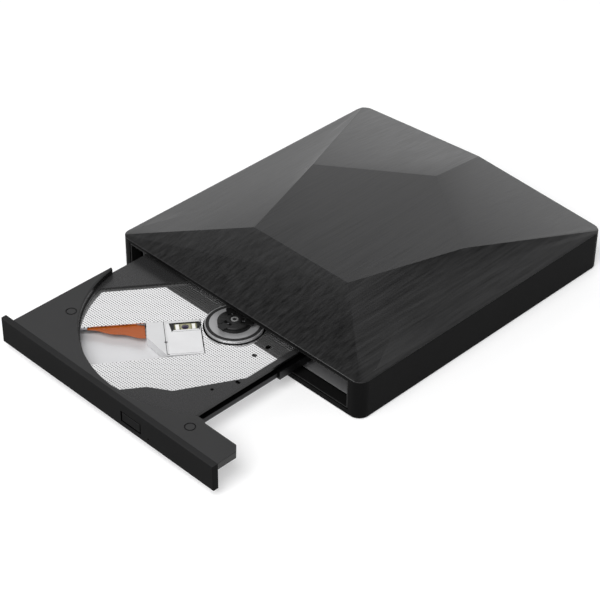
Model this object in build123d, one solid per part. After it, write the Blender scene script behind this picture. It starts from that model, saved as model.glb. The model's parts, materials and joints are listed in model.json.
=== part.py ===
from build123d import *
import math
import os

# External optical drive with its loading tray drawn part of the way out.
# +X is to the right seen from the front, the front panel faces -Y and +Z is up.
# The origin is the middle of the case's footprint, in the plane that the feet rest on.
# Lengths are in millimetres. Heights named *_z are above that plane.

os.makedirs("parts", exist_ok=True)

# ---- case ----
case_w = 144.2
case_d = 153.5
corner_r = 5.0
wall_t = 2.0
floor_t = 1.6
foot_proud = 0.6
foot_sunk = 0.4
foot_r = 6.0
wall_over_mouth = 1.15
roof_rise = 7.4
roof_t = 1.8
crown_r = 47.5
lip_t = 1.3
lip_h = 1.1
lip_gap = 0.15
post_r = 2.2
screw_r = 0.95
screw_head_r = 2.1
screw_head_h = 0.9

# ---- mouth that the tray leaves by ----
mouth_w = 129.8
mouth_sill = 2.7
mouth_shift = -0.3
mouth_depth = 5.3
mouth_wall = 0.55
mouth_seam = 0.35
mouth_flange = 2.0
mouth_flange_t = 1.5
mouth_set_back = 0.25

# ---- drive body ----
drive_w = 129.0
drive_len = 124.7
sheet_t = 0.6
drive_lift = 3.0
lid_gap = 0.45
drive_gap = 0.8
pad_t = 0.8
pad_w = 8.0
ear_w = 4.0
ear_len = 6.0
ear_screw_r = 0.7
drive_board_x = 51.0
stand_off = 1.8

# ---- tray ----
bezel_w = 128.0
bezel_h = 12.3
bezel_t = 2.7
bezel_lift = 0.2
bezel_gap = 0.4
tray_out = 71.8
tray_further = 58.0
tray_len = 121.9
tray_left = -59.1
tray_right = 35.0
tray_skin = 1.2
rim_h = 3.0
rim_t = 3.4
body_wall = 1.2
body_lift = 1.0
overhang_left = 2.3
overhang_right = 1.9
wing_reach = 63.6
wing_back = 12.4
wing_chamfer = 2.6
well_r = 61.2
well_x = 2.1
well_back = 63.05
rim_tip = 10.5

# ---- rails ----
runner_t = 2.7
runner_h = 2.2
runner_drop = 3.2
rail_t = 0.8
rail_lip = 1.8
rail_set_back = 20.0
rail_len = 100.0
slide_gap = 0.28
guide_t = 1.15
guide_len = 110.0
guide_start = 14.0

# ---- spindle and disc ----
spindle_x = 3.2
spindle_back = 66.15
disc_seat_above_tray = 0.5
disc_t = 1.2
hub_r = 7.25
hub_h = 1.9
hub_step = 0.6
seat_r = 10.7
rubber_r = 12.1
flange_r = 12.55
flange_t = 1.3
rotor_r = 11.6
rotor_h = 3.0
shaft_r = 1.2
claw_count = 3
claw_w = 3.6
claw_t = 0.5
claw_proud = 1.05
claw_travel = 1.1

# ---- pickup and its sled ----
sled_deg = 232.5
plate_t = 0.4
plate_drop = 1.1
plate_screw_r = 0.75
slot_near = 13.7
slot_far = 66.0
slot_left = -6.3
slot_right = 17.4
slot_flare = 1.5
pickup_travel = 36.0
pickup_h = 4.0
pickup_top = 0.5
pickup_near = 14.0
pickup_front_left = 36.2
pickup_front_right = 29.2
pickup_left = -6.0
pickup_right = 16.6
cover_near = 14.2
cover_far = 28.2
cover_left = -3.9
cover_t = 0.3
window_near = 14.9
window_far = 25.6
window_right = 0.6
lens_at = 20.4
lens_off = -1.5
lens_r = 1.9
lens_stroke = 0.3
rod_r = 1.2
rod_fit = 0.05
rod_left = -9.4
rod_right = 20.5
rod_near = 10.5
rod_far_left = 73.5
rod_far_right = 64.0
lug_wall = 0.7
screw_line = -15.0
lead_r = 1.3
lead_far = 66.0
motor_r = 3.1
motor_len = 12.0
frame_t = 1.0
frame_gap = 0.6
frame_back = 22.0
post_foot_r = 1.6

# ---- button ----
button_w = 11.9
button_h = 5.3
button_x = 16.8
button_rise = 2.5
button_gap = 0.3
button_stroke = 0.8
pinhole_x = 27.2
pinhole_rise = 2.7
pinhole_r = 0.7
latch_x = 27.5
latch_back = 5.25
latch_t = 0.9
catch_r = 0.7
catch_back = 2.6

# ---- rear end ----
usb_w = 8.94
usb_h = 3.26
usb_t = 0.3
usb_len = 9.0
usb_x = 0.0
usb_gap = 0.3
usb_set_back = 0.2
board_t = 1.0
board_lift = 3.4
plug_w = 30.0
plug_x = -30.0
plug_h = 3.4

# ---- ribbon ----
ribbon_w = 20.0
ribbon_t = 0.15
ribbon_x = 14.0
ribbon_drop = 1.4
ribbon_pinch = 0.05

# ---- levels and places worked out from the sizes above ----
base_z = foot_proud
inside_z = base_z + floor_t
half_w = case_w / 2
half_d = case_d / 2
inner_w = half_w - wall_t
inner_d = half_d - wall_t
mouth_left = mouth_shift - mouth_w / 2
mouth_right = mouth_shift + mouth_w / 2
mouth_z = base_z + mouth_sill + mouth_wall
bezel_z = mouth_z + bezel_lift
rim_z = bezel_z + bezel_h
mouth_top = rim_z + bezel_gap
mouth_cut_z = mouth_z - mouth_wall - mouth_seam
mouth_cut_top = mouth_top + mouth_wall + mouth_seam
seam_z = mouth_cut_top + wall_over_mouth
crown_z = seam_z + roof_rise
drive_z = base_z + drive_lift + sheet_t
drive_top = rim_z + lid_gap
chassis_front = -half_d + mouth_depth + drive_gap
chassis_back = chassis_front + drive_len
chassis_half = drive_w / 2
tray_z = rim_z - rim_h
plate_z = tray_z - plate_drop
bezel_front = -half_d - tray_out
tray_front = bezel_front + bezel_t
tray_back = tray_front + tray_len
body_left = tray_left + overhang_left
body_right = tray_right - overhang_right
body_z = bezel_z + body_lift
frame_z = body_z + ribbon_drop
well_y = tray_front + well_back
spindle_y = tray_front + spindle_back
latch_y = tray_front + latch_back
seat_z = tray_z + disc_seat_above_tray
hub_z = seat_z + hub_h
runner_top = tray_z - runner_drop
runner_z = runner_top - runner_h
rod_z = plate_z - 2.6
bed_z = plate_z - 3.9
lug_r = rod_r + lug_wall
claw_reach = hub_r + claw_proud
fold_y = chassis_front + 5 + tray_further / 2
sled = Plane(
    origin=(spindle_x, spindle_y, 0),
    x_dir=(math.cos(math.radians(sled_deg)), math.sin(math.radians(sled_deg)), 0),
    z_dir=(0, 0, 1),
)


def block(x0, x1, y0, y1, z0, z1):
    """A box between two corners."""
    return Pos((x0 + x1) / 2, (y0 + y1) / 2, (z0 + z1) / 2) * Box(x1 - x0, y1 - y0, z1 - z0)


def round_block(x0, x1, y0, y1, z0, z1, radius):
    """A box whose upright corners are rounded."""
    outline = Pos((x0 + x1) / 2, (y0 + y1) / 2, z0) * RectangleRounded(x1 - x0, y1 - y0, radius)
    return extrude(outline, z1 - z0, dir=(0, 0, 1))


def rod(x, y, z0, z1, radius):
    """An upright cylinder."""
    return Pos(x, y, (z0 + z1) / 2) * Cylinder(radius, z1 - z0)


def slab(points, z0, z1):
    """A polygon standing between two heights."""
    outline = Polygon(*points, align=None)
    return extrude(Pos(0, 0, z0) * outline, z1 - z0, dir=(0, 0, 1))


def sled_block(u0, u1, v0, v1, z0, z1):
    """A box in the pickup's own directions: u runs out along the slide and v across it."""
    return sled.location * block(u0, u1, v0, v1, z0, z1)


def sled_slab(points, z0, z1):
    """A polygon in the pickup's own directions."""
    return sled.location * slab(points, z0, z1)


def sled_rod(u0, u1, v, z, radius):
    """A cylinder lying along the slide."""
    lying = Pos((u0 + u1) / 2, v, z) * Rot(0, 90, 0) * Cylinder(radius, u1 - u0)
    return sled.location * lying


def sled_point(u, v):
    """A point given in the pickup's directions, in the case's."""
    spot = sled.from_local_coords(Vector(u, v, 0))
    return spot.X, spot.Y


def save(node, *solids):
    """Write one sub-part to its STEP file."""
    whole = Compound(children=[s for shape in solids for s in shape.solids()])
    export_step(whole, "parts/" + node + ".step")


def corners(x, y):
    """Four points placed evenly about the case's middle."""
    return [(sx * x, sy * y) for sx in (-1, 1) for sy in (-1, 1)]


# ---- case ----

post_x = inner_w - lip_t - lip_gap - 1.35
post_y = half_d - 10.8
foot_spots = corners(half_w - 16, half_d - 17) + [(0, 0)]
lug_spots = [(chassis_half + ear_w / 2 - 0.3, y) for y in (chassis_front + 20, chassis_back - 10)]
ear_spots = lug_spots + [(-x, y) for x, y in lug_spots]
usb_z = inside_z + board_lift + board_t
mouth_cut_left = mouth_left - mouth_wall - mouth_seam
mouth_cut_right = mouth_right + mouth_wall + mouth_seam


def base_shell():
    """Tub with the floor and the four walls, open at the front for the tray."""
    outer = round_block(-half_w, half_w, -half_d, half_d, base_z, seam_z, corner_r)
    inner_r = corner_r - wall_t
    shell = outer - round_block(-inner_w, inner_w, -inner_d, inner_d, inside_z, seam_z + 1, inner_r)
    shell -= block(
        mouth_cut_left,
        mouth_cut_right,
        -half_d - 1,
        -inner_d + 1,
        mouth_cut_z,
        mouth_cut_top,
    )
    socket = RectangleRounded(usb_w + 2 * usb_gap, usb_h + 2 * usb_gap, usb_h / 2)
    port = Plane(
        origin=(usb_x, half_d + 1, usb_z + usb_h / 2), x_dir=(1, 0, 0), z_dir=(0, -1, 0)
    )
    shell -= extrude(port.location * socket, wall_t + 2, dir=(0, -1, 0))
    for x, y in foot_spots:
        shell -= rod(x, y, base_z - 1, base_z + foot_sunk, foot_r)
    for x, y in corners(post_x, post_y):
        shell -= rod(x, y, base_z - 1, base_z + screw_head_h + 0.1, screw_head_r + 0.1)
        shell -= rod(x, y, base_z, inside_z + 1, screw_r + 0.15)
    for x, y in pad_spots():
        shell += round_block(
            x - pad_w / 2, x + pad_w / 2, y - pad_w / 2, y + pad_w / 2,
            inside_z - 0.2, drive_z - sheet_t - pad_t, 1.5,
        )
    for x in (plug_x - plug_w / 2 - 4, usb_x + 22):
        shell += rod(x, board_mid_y(), inside_z - 0.2, inside_z + board_lift, 2.5)
    return shell


def pad_spots():
    """Where the drive body rests on its rubber pads."""
    x = chassis_half - 10
    return [(sx * x, y) for sx in (-1, 1) for y in (chassis_front + 14, chassis_back - 10)]


def board_mid_y():
    """Middle of the bridge board, between the drive's connector and the rear wall."""
    return (chassis_back + 6 + inner_d - 1.5) / 2


def facet_solid(side_x, side_y, low_z, crown, top_z):
    """The roof's block: a level pentagon joined to a rectangle by flat and twisted facets."""
    a, b, c, d, e = [
        Vector(crown * math.cos(math.radians(t)), crown * math.sin(math.radians(t)), top_z)
        for t in (162, 90, 18, -54, -126)
    ]
    front_left = Vector(-side_x, -side_y, low_z)
    front_right = Vector(side_x, -side_y, low_z)
    rear_left = Vector(-side_x, side_y, low_z)
    rear_right = Vector(side_x, side_y, low_z)
    across = (b - a).cross(rear_left - a)
    ridge_z = b.Z - across.Y * (side_y - b.Y) / across.Z
    ridge = Vector(0, side_y, ridge_z)

    def flat(*points):
        return Face(Wire.make_polygon(points, close=True))

    def twisted(p, q, r, s):
        return Face.make_surface_from_curves(Edge.make_line(p, q), Edge.make_line(r, s))

    faces = [
        flat(a, b, c, d, e),
        flat(e, d, front_right, front_left),
        twisted(e, a, front_left, rear_left),
        twisted(d, c, front_right, rear_right),
        flat(a, b, ridge, rear_left),
        flat(c, b, ridge, rear_right),
        flat(rear_left, ridge, rear_right),
        flat(front_left, front_right, rear_right, rear_left),
    ]
    solid = Solid(Shell(faces))
    return solid if solid.volume > 0 else Solid(solid.wrapped.Reversed())


def roof_cover():
    """Faceted cover with an inner lip and four screw posts."""
    roof = facet_solid(half_w, half_d, seam_z, crown_r, crown_z)
    roof = roof & round_block(-half_w, half_w, -half_d, half_d, seam_z, crown_z + 1, corner_r)
    edge = wall_t + lip_gap + lip_t
    hollow = facet_solid(
        half_w - edge, half_d - edge, seam_z, crown_r - roof_t, crown_z - roof_t
    )
    lip_x = inner_w - lip_gap
    lip_y = inner_d - lip_gap
    lip_r = corner_r - wall_t - lip_gap
    lip = round_block(-lip_x, lip_x, -lip_y, lip_y, seam_z - lip_h, seam_z + 0.3, lip_r)
    lip -= round_block(
        -half_w + edge, half_w - edge, -half_d + edge, half_d - edge,
        seam_z - lip_h - 1, seam_z + 1, lip_r - lip_t,
    )
    shape = roof - hollow + lip
    for x, y in corners(post_x, post_y):
        shape += rod(x, y, inside_z + 0.2, seam_z + 0.5, post_r)
        shape -= rod(x, y, inside_z, inside_z + 9, screw_r)
    return shape


def mouth_frame():
    """Liner of the mouth: a thin ring with a flange held behind the front wall."""
    front = -half_d + mouth_set_back
    back = -half_d + mouth_depth
    left = mouth_left - mouth_wall
    right = mouth_right + mouth_wall
    low = mouth_z - mouth_wall
    high = mouth_top + mouth_wall
    frame = block(left, right, front, back, low, high)
    flange_y = -inner_d + 0.05
    frame += block(
        left - mouth_flange, right + mouth_flange, flange_y, flange_y + mouth_flange_t,
        inside_z, high + mouth_seam / 2,
    )
    return frame - block(mouth_left, mouth_right, front - 1, back + 1, mouth_z, mouth_top)


def foot_pads():
    """Five rubber discs pressed into shallow seats in the floor."""
    return [rod(x, y, 0, base_z + foot_sunk, foot_r - 0.05) for x, y in foot_spots]


def case_screws():
    """Screws that go up through the floor into the roof's posts."""
    made = []
    for x, y in corners(post_x, post_y):
        head = rod(x, y, base_z + 0.1, base_z + 0.1 + screw_head_h, screw_head_r)
        head -= Pos(x, y, base_z + 0.1) * Box(2.4, 0.6, 0.9)
        made.append(head + rod(x, y, base_z + 0.5, base_z + 8, screw_r - 0.05))
    return made


# ---- drive body ----

link_w = plug_w + 2


def drive_chassis():
    """Folded sheet tub with ears for its cover's screws."""
    tub = block(
        -chassis_half, chassis_half, chassis_front, chassis_back, drive_z - sheet_t, drive_top
    )
    tub -= block(
        -chassis_half + sheet_t, chassis_half - sheet_t, chassis_front - 1,
        chassis_back - sheet_t, drive_z, drive_top + 1,
    )
    tub -= block(
        plug_x - link_w / 2 - 0.3, plug_x + link_w / 2 + 0.3, chassis_back - 2, chassis_back + 1,
        drive_z + 1.2, drive_z + 6.4,
    )
    for x, y in ear_spots:
        tub += block(
            x - ear_w / 2, x + ear_w / 2, y - ear_len / 2, y + ear_len / 2,
            drive_top - sheet_t, drive_top,
        )
        tub -= rod(ear_screw_x(x), y, drive_top - 2, drive_top + 1, ear_screw_r + 0.05)
    for y in (drive_board_y0 + 4, drive_board_y1 - 4):
        tub += rod(drive_board_x, y, drive_z - 0.1, drive_z + stand_off, 2.0)
    return tub


drive_board_y0 = chassis_back - 74
drive_board_y1 = chassis_back - 6


def ear_screw_x(x):
    """Middle of the screw in the ear at x, a little further out than the ear's middle."""
    return x + math.copysign(0.4, x)


def drive_top_cover():
    """Flat lid of the drive body, stiffened by a shallow raised ring."""
    lid = block(
        -chassis_half, chassis_half, chassis_front, chassis_back, drive_top, drive_top + sheet_t
    )
    for x, y in ear_spots:
        lid += block(
            x - ear_w / 2, x + ear_w / 2, y - ear_len / 2, y + ear_len / 2,
            drive_top, drive_top + sheet_t,
        )
    ring_y = spindle_y + tray_out
    lid += rod(spindle_x, ring_y, drive_top + 0.1, drive_top + sheet_t + 0.4, 24)
    lid -= rod(spindle_x, ring_y, drive_top + sheet_t, drive_top + sheet_t + 1, 22)
    for x, y in ear_spots:
        lid -= rod(ear_screw_x(x), y, drive_top - 1, drive_top + 2, ear_screw_r + 0.05)
    return lid


def cover_screws():
    """Small screws through the lid's ears."""
    made = []
    for x, y in ear_spots:
        at = ear_screw_x(x)
        top = drive_top + sheet_t
        head = rod(at, y, top, top + 0.5, 1.3) - Pos(at, y, top + 0.5) * Box(1.6, 0.4, 0.5)
        made.append(head + rod(at, y, drive_top - 1.6, top + 0.1, ear_screw_r))
    return made


def drive_pads():
    """Rubber pads between the drive body and the case's floor."""
    half = pad_w / 2
    low = drive_z - sheet_t - pad_t
    return [
        round_block(x - half, x + half, y - half, y + half, low, drive_z - sheet_t, 1.5)
        for x, y in pad_spots()
    ]


def drive_connector():
    """Socket on the drive's rear wall that the bridge board plugs into."""
    low = drive_z + 1.2
    body = block(
        plug_x - link_w / 2, plug_x + link_w / 2, chassis_back - 4, chassis_back + 1.6,
        low + 0.2, low + 5.0,
    )
    body -= block(
        plug_x - plug_w / 2, plug_x + plug_w / 2, chassis_back - 1.4, chassis_back + 2,
        low + 1.0, low + 4.2,
    )
    return body


def drive_board():
    """Control board on two stand-offs beside the tray's path."""
    low = drive_z + stand_off
    return block(
        drive_board_x - 11, drive_board_x + 10.5, drive_board_y0, drive_board_y1, low, low + board_t
    )


def drive_chips():
    """Packages on the control board."""
    low = drive_z + stand_off + board_t
    spots = [(-2, 14, 10, 10, 1.4), (-1, 32, 7, 7, 1.2), (3, 48, 5, 8, 1.1), (-5, 58, 4, 4, 1.0)]
    return [
        block(
            drive_board_x + x - w / 2, drive_board_x + x + w / 2,
            drive_board_y0 + y - d / 2, drive_board_y0 + y + d / 2, low, low + h,
        )
        for x, y, w, d, h in spots
    ]


def bridge_board():
    """Board that turns the drive's own interface into the socket at the back."""
    low = inside_z + board_lift
    return block(
        plug_x - plug_w / 2 - 8, usb_x + 26, chassis_back + 6, inner_d - 1.5, low, low + board_t
    )


def bridge_chips():
    """Packages on the bridge board."""
    low = inside_z + board_lift + board_t
    y = board_mid_y()
    spots = [(-22, 0, 8, 8, 1.2), (-11, 1, 4, 4, 1.0), (13, -2, 5, 6, 2.2), (19, 2, 3, 3, 1.4)]
    return [
        block(usb_x + x - w / 2, usb_x + x + w / 2, y + d0 - d / 2, y + d0 + d / 2, low, low + h)
        for x, d0, w, d, h in spots
    ]


def bridge_plug():
    """Plug on the bridge board that enters the drive's connector."""
    low = drive_z + 2.3
    top = low + 2.9
    body = block(
        plug_x - plug_w / 2 + 0.1, plug_x + plug_w / 2 - 0.1, chassis_back - 1.2,
        chassis_back + 8, low, top,
    )
    board_top = inside_z + board_lift + board_t
    if low > board_top:
        body += block(
            plug_x - plug_w / 2 + 0.1, plug_x + plug_w / 2 - 0.1, chassis_back + 6.2,
            chassis_back + 8, board_top, low + 0.1,
        )
    return body - block(
        plug_x - plug_w, plug_x + plug_w, chassis_back + 5.9, chassis_back + 9,
        board_top - board_t - 2, board_top,
    )


def usb_shell(width, height, y0, y1):
    """A rounded bar along Y at the socket's place."""
    face = RectangleRounded(width, height, height / 2 - 0.01)
    at = Plane(origin=(usb_x, y0, usb_z + usb_h / 2), x_dir=(1, 0, 0), z_dir=(0, 1, 0))
    return extrude(at.location * face, y1 - y0, dir=(0, 1, 0))


usb_mouth_y = half_d - usb_set_back
usb_back_y = usb_mouth_y - usb_len


def usb_socket():
    """Metal shell of the socket, closed at its inner end."""
    return usb_shell(usb_w, usb_h, usb_back_y, usb_mouth_y) - usb_shell(
        usb_w - 2 * usb_t, usb_h - 2 * usb_t, usb_back_y + 1.5, usb_mouth_y + 1
    )


def usb_tongue():
    """Contact tongue inside the socket."""
    mid = usb_z + usb_h / 2
    return block(usb_x - 3.35, usb_x + 3.35, usb_back_y + 1.5, usb_mouth_y - 1.2, mid - 0.35, mid + 0.35)


# ---- rails ----

right_runner_x = body_right + runner_t
left_runner_x = body_left - runner_t + 0.1


def channel(side, web_x, y0, y1):
    """A C-shaped rail whose lips reach over and under a runner."""
    web = sorted((web_x, web_x + side * rail_t))
    lips = sorted((web_x + side * rail_t, web_x + side * (rail_t - rail_lip - rail_t)))
    top = runner_top + slide_gap
    low = runner_z - slide_gap
    rail = block(web[0], web[1], y0, y1, low - 0.6, top + 0.6)
    rail += block(lips[0], lips[1], y0, y1, top, top + 0.6)
    return rail + block(lips[0], lips[1], y0, y1, low - 0.6, low)


def rail_ends():
    """Front and back of the middle rails, half as far out as the tray."""
    front = chassis_front + rail_set_back - tray_out / 2
    return front, front + rail_len


def right_rail():
    """Middle member of the right-hand slide."""
    return channel(1, right_runner_x + slide_gap, *rail_ends())


def left_rail():
    """Middle member of the left-hand slide."""
    return channel(-1, left_runner_x - slide_gap, *rail_ends())


def guide(side, rail_face, web):
    """Fixed channel on the drive's floor that holds a middle rail."""
    top = runner_top + slide_gap + 0.6 + slide_gap
    low = runner_z - slide_gap - 0.6 - slide_gap
    y0 = chassis_front + guide_start
    inner = rail_face + side * slide_gap
    outer = inner + side * web
    lips = inner - side * 1.5
    xs = sorted((inner, outer))
    wide = sorted((lips, outer))
    shape = block(xs[0], xs[1], y0, y0 + guide_len, drive_z, top + 0.6)
    shape += block(wide[0], wide[1], y0, y0 + guide_len, top, top + 0.6)
    return shape + block(wide[0], wide[1], y0, y0 + guide_len, drive_z, low)


def right_guide():
    """Guide beside the control board."""
    return guide(1, right_runner_x + slide_gap + rail_t, guide_t)


def left_guide():
    """Guide against the drive's left wall."""
    rail_face = left_runner_x - slide_gap - rail_t
    return guide(-1, rail_face, rail_face - slide_gap + chassis_half - sheet_t)


# ---- tray ----

notch_y = well_y - math.sqrt(well_r ** 2 - (tray_right + 2.5 - well_x) ** 2)
wing_y = tray_front + wing_back


def well():
    """The round recess that the disc drops into."""
    return rod(well_x, well_y, tray_z, rim_z + 1, well_r)


def from_front(points):
    """Points whose second value is measured back from the drawer's front."""
    return [(x, tray_front + back) for x, back in points]


def plate_window():
    """Outline of the opening that shows the white metal plate."""
    return from_front([
        (-54.0, 42.35),
        (-18.8, 89.55),
        (tray_right - 2.8, 89.55),
        (tray_right - 2.8, 45.35),
        (17.6, 18.85),
        (8.6, 13.15),
        (2.4, 4.35),
        (-12.0, 2.35),
        (-36.0, 5.35),
        (-50.0, 21.35),
    ])


def outline_front():
    """Plan of the raised front: left edge, bezel line, wing and notch."""
    return [
        (tray_left, tray_front),
        (wing_reach, tray_front),
        (wing_reach, wing_y - wing_chamfer),
        (wing_reach - wing_chamfer, wing_y),
        (tray_right + 8.4, wing_y),
        (tray_right + 7.6, wing_y + 0.9),
        (tray_right, wing_y + 0.9),
        (tray_right, well_y),
        (tray_left, well_y),
    ]


def tray():
    """Moulded drawer: raised front rim, lower floor with a window, and a hollow body."""
    low = rim_z - rim_t
    rim = slab(outline_front(), low, rim_z)
    rim -= rod(well_x, well_y, low - 1, rim_z + 1, well_r)
    rim -= block(
        tray_left - 1, well_x - well_r / 2, well_y - rim_tip, well_y + 1, tray_z, rim_z + 1
    )
    rim = max(rim.solids(), key=lambda s: s.volume)
    sharp = [e for e in rim.edges().filter_by(GeomType.CIRCLE) if abs(e.center().Z - rim_z) < 0.01]
    if sharp:
        rim = chamfer(sharp, 0.5)
    floor = block(tray_left, tray_right, tray_front, tray_back, tray_z - tray_skin, tray_z)
    floor = fillet(floor.edges().filter_by(Axis.Z).group_by(Axis.Y)[-1], 4)
    ahead = slab(outline_front(), tray_z - tray_skin - 1, tray_z)
    floor -= ahead - rod(well_x, well_y, tray_z - tray_skin - 1, tray_z, well_r + 0.4)
    passage = sled_block(
        slot_near, rod_far_left + 5, slot_left - 0.3, slot_right + slot_flare,
        tray_z - tray_skin - 1, low,
    )
    floor -= passage
    window_z = plate_z - plate_t - 0.1
    window = slab(plate_window(), window_z, tray_z + 1)
    window = window & rod(well_x, well_y, window_z, tray_z + 1, well_r - 0.6)
    shape = rim + floor - window
    top = tray_z - tray_skin + 0.1
    walls = block(body_left, body_right, tray_front, tray_back, body_z, top)
    walls -= block(
        body_left + body_wall, body_right - body_wall, tray_front + body_wall,
        tray_back - body_wall, body_z - 1, top + 1,
    )
    walls -= block(body_right - 3, body_right + 1, tray_front - 1, notch_y - 0.6, body_z - 1, low)
    behind_button = button_w / 2 + 0.3
    walls -= block(
        button_x - behind_button, button_x + behind_button, tray_front - 1,
        tray_front + body_wall + 1, body_z - 1, low,
    )
    walls -= block(
        ribbon_x - ribbon_w / 2 - 1, ribbon_x + ribbon_w / 2 + 1, tray_back - 3, tray_back + 1,
        body_z - 1, body_z + ribbon_drop + 0.6,
    )
    shape += walls - window
    for x, y in from_front([(-47.2, 20.85), (tray_right + 6, 6.85)]):
        ring = rod(x, y, rim_z - 0.25, rim_z + 1, 2.35) - rod(x, y, rim_z - 1, rim_z + 2, 1.9)
        shape -= ring
    shape -= rod(27.8, tray_front + 30.55, tray_z - 3, tray_z + 1, 0.7)
    shape -= block(
        tray_right - 4.4, tray_right - 2.2, tray_front + 40.25, tray_front + 41.65,
        tray_z - 3, tray_z + 1,
    )
    return shape


def front_bezel():
    """Front panel with the button's opening and the emergency hole."""
    half = bezel_w / 2
    panel = block(-half, half, bezel_front, tray_front, bezel_z, rim_z)
    panel = chamfer(panel.faces().sort_by(Axis.Y)[0].edges(), 0.3)
    panel -= block(
        button_x - button_w / 2, button_x + button_w / 2, bezel_front - 1, tray_front + 1,
        bezel_z + button_rise, bezel_z + button_rise + button_h,
    )
    hole = Pos(pinhole_x, bezel_front, bezel_z + pinhole_rise) * Rot(90, 0, 0)
    return panel - hole * Cylinder(pinhole_r, 4 * bezel_t)


def eject_button():
    """Cap and stem of the eject button."""
    low = bezel_z + button_rise + button_gap
    high = bezel_z + button_rise + button_h - button_gap
    left = button_x - button_w / 2 + button_gap
    right = button_x + button_w / 2 - button_gap
    cap = block(left, right, bezel_front + 0.05, tray_front - 0.2, low, high)
    cap = chamfer(cap.faces().sort_by(Axis.Y)[0].edges(), 0.5)
    mid = (low + high) / 2
    return cap + block(
        button_x - 1.3, button_x + 1.3, tray_front - 0.3, tray_front + 1.2, mid - 1, mid + 1
    )


def eject_switch():
    """Push switch behind the button, under the tray's board."""
    mid = bezel_z + button_rise + button_h / 2
    y = tray_front + 1.2 + button_stroke + 0.2
    return block(button_x - 3, button_x + 3, y, y + 4.4, mid - 1.6, tray_board_z)


tray_board_z = plate_z - plate_t - 1.3


def tray_board():
    """Small board under the raised front for the switch and the pickup's cable."""
    y = tray_front + body_wall + 0.2
    points = [(-9, y), (body_right - body_wall - 0.3, y), (body_right - body_wall - 0.3, y + 12)]
    points += [(14, y + 13), (4, y + 6)]
    board = slab(points, tray_board_z, tray_board_z + 0.8)
    return board - rod(latch_x, latch_y, tray_board_z - 1, tray_board_z + 2, 1.4)


def tray_board_chips():
    """Driver packages hanging under the tray's board."""
    y = tray_front + body_wall
    spots = [(24.5, 8.2, 5, 5), (3.5, 3.2, 4, 3)]
    return [
        block(x - w / 2, x + w / 2, y + dy - d / 2, y + dy + d / 2, tray_board_z - 1, tray_board_z)
        for x, dy, w, d in spots
    ]


def cover_plate():
    """White perforated sheet under the disc, cut for the spindle and the pickup."""
    sheet = slab(plate_window(), plate_z - plate_t, plate_z)
    sheet = sheet & rod(well_x, well_y, plate_z - 2, plate_z + 1, well_r - 0.7)
    slot = [
        (slot_near, slot_left),
        (slot_far, slot_left),
        (slot_far, slot_right + slot_flare),
        (slot_near, slot_right - 0.6),
    ]
    sheet -= sled_slab(slot, plate_z - 2, plate_z + 1)
    sheet -= rod(spindle_x, spindle_y, plate_z - 2, plate_z + 1, flange_r + 0.7)
    sheet -= rod(23.2, tray_front + 66.25, plate_z - 2, plate_z + 1, 1.4)
    sheet -= rod(23.0, tray_front + 58.45, plate_z - 2, plate_z + 1, 1.1)
    return [s for s in sheet.solids() if s.volume > 1]


def traverse_frame():
    """Cast bed that carries the motor, the rods and the plate's posts."""
    left = body_left + body_wall + frame_gap
    right = body_right - body_wall - frame_gap
    front = tray_front + body_wall + 1.05
    base = block(left, right, front, spindle_y + frame_back, frame_z, frame_z + frame_t)
    bed = sled_block(slot_near + 1, slot_far, slot_left - 0.6, slot_right + 0.7, frame_z, bed_z)
    shape = base + (bed & block(left, right, front, spindle_y + frame_back, frame_z, bed_z))
    shape -= block(left - 1, left + 18, front - 1, front + 7.6, frame_z - 1, bed_z + 1)
    shape -= block(right - 17.3, right + 1, front - 1, front + 12.6, frame_z - 1, bed_z + 1)
    for v, far in ((rod_left, rod_far_left), (rod_right, rod_far_right)):
        for u in (rod_near + 1.5, far - 1.5):
            half = rod_r + 0.6
            shape += sled_block(u - 1.5, u + 1.5, v - half, v + half, frame_z, rod_z)
            shape -= sled_rod(u - 2, u + 2, v, rod_z, rod_r + 0.02)
    for x, y in plate_posts():
        shape += rod(x, y, frame_z, plate_z - plate_t, post_foot_r)
        shape -= rod(x, y, frame_z - 1, frame_z + 0.6, 1.45)
        shape -= rod(x, y, frame_z, plate_z - plate_t - 0.8, plate_screw_r + 0.05)
    shape -= rod(spindle_x, spindle_y, frame_z - 1, frame_z + 4, 3.0)
    for x, y in bush_spots():
        shape -= rod(x, y, frame_z - 1, frame_z + 4, 1.6)
    return shape


def plate_posts():
    """Posts that the white plate is screwed to."""
    return from_front([(23.0, 58.45), (-45.4, 35.45), (4.0, 9.85), (-20.0, 81.85)])


def bush_spots():
    """Where rubber bushes hold the bed to the tray's bottom."""
    return from_front([(-48.0, 45.85), (28.6, 75.85), (27.0, 26.85), (-34.0, 79.85)])


def damper_bushes():
    """Rubber bushes between the bed and the bottom plate."""
    return [
        rod(x, y, body_z, frame_z + frame_t + 0.5, 1.55) + rod(x, y, body_z, frame_z, 2.6)
        for x, y in bush_spots()
    ]


def plate_screws():
    """Screws that come up through the bed and its posts to hold the white plate."""
    made = []
    for x, y in plate_posts():
        head = rod(x, y, frame_z + 0.05, frame_z + 0.6, 1.4)
        head -= Pos(x, y, frame_z + 0.05) * Box(1.8, 0.4, 0.5)
        made.append(head + rod(x, y, frame_z + 0.5, plate_z - plate_t - 0.9, plate_screw_r))
    return made


def tray_bottom_plate():
    """Sheet that closes the drawer from below, with a channel for the ribbon."""
    plate = block(
        body_left, body_right, tray_front + 0.2, tray_back, body_z - 0.4, body_z
    )
    plate -= block(
        ribbon_x - ribbon_w / 2 - 1, ribbon_x + ribbon_w / 2 + 1, tray_front + 42, tray_back + 1,
        body_z - 1, body_z + 1,
    )
    return plate - block(body_right - 6, body_right + 1, tray_front, notch_y, body_z - 1, body_z + 1)


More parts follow.
